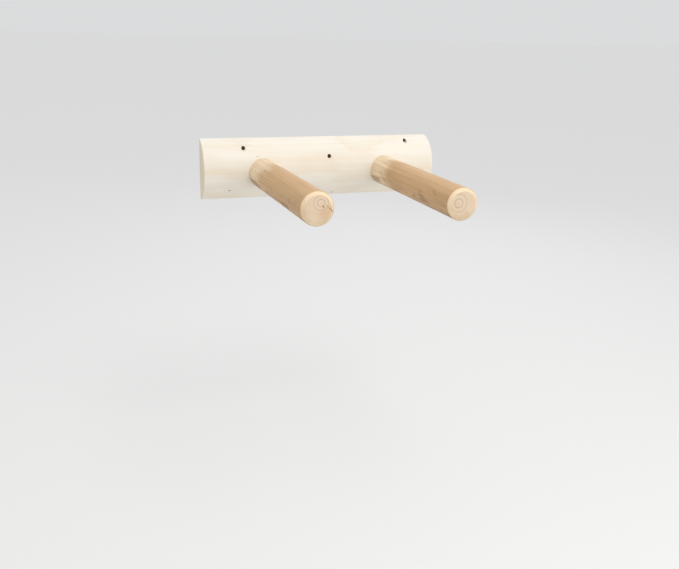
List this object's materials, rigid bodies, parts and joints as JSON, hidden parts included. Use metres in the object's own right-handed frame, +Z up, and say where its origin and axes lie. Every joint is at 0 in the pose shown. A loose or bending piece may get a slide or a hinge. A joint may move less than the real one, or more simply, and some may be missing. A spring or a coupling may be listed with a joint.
{
  "type": "bicycle wall rack",
  "caption": "Half-log back rail that screws flat to a wall, with round timber pegs that carry a bicycle by its top tube.",
  "frame": {"origin": "middle of the flat sawn back face, on the wall", "axes": "+X along the rail to the right, seen from the room; +Y into the wall, so the pegs point along -Y; +Z up"},
  "size_m": [0.52, 0.4826, 0.1308],
  "materials": {
    "rail_wood": "peeled and sanded pale pine, oiled matt",
    "peg_wood": "turned pale pine, sanded, matt",
    "screw_steel": "black phosphate",
    "coach_steel": "zinc plated"
  },
  "bodies": {
    "root": {"back_rail": "rail_wood", "left_peg": "peg_wood", "right_peg": "peg_wood", "left_peg_screw": "coach_steel", "right_peg_screw": "coach_steel", "left_peg_washer": "coach_steel", "right_peg_washer": "coach_steel", "wall_screw_left": "screw_steel", "wall_screw_middle": "screw_steel", "wall_screw_right": "screw_steel"}
  },
  "joints": []
}
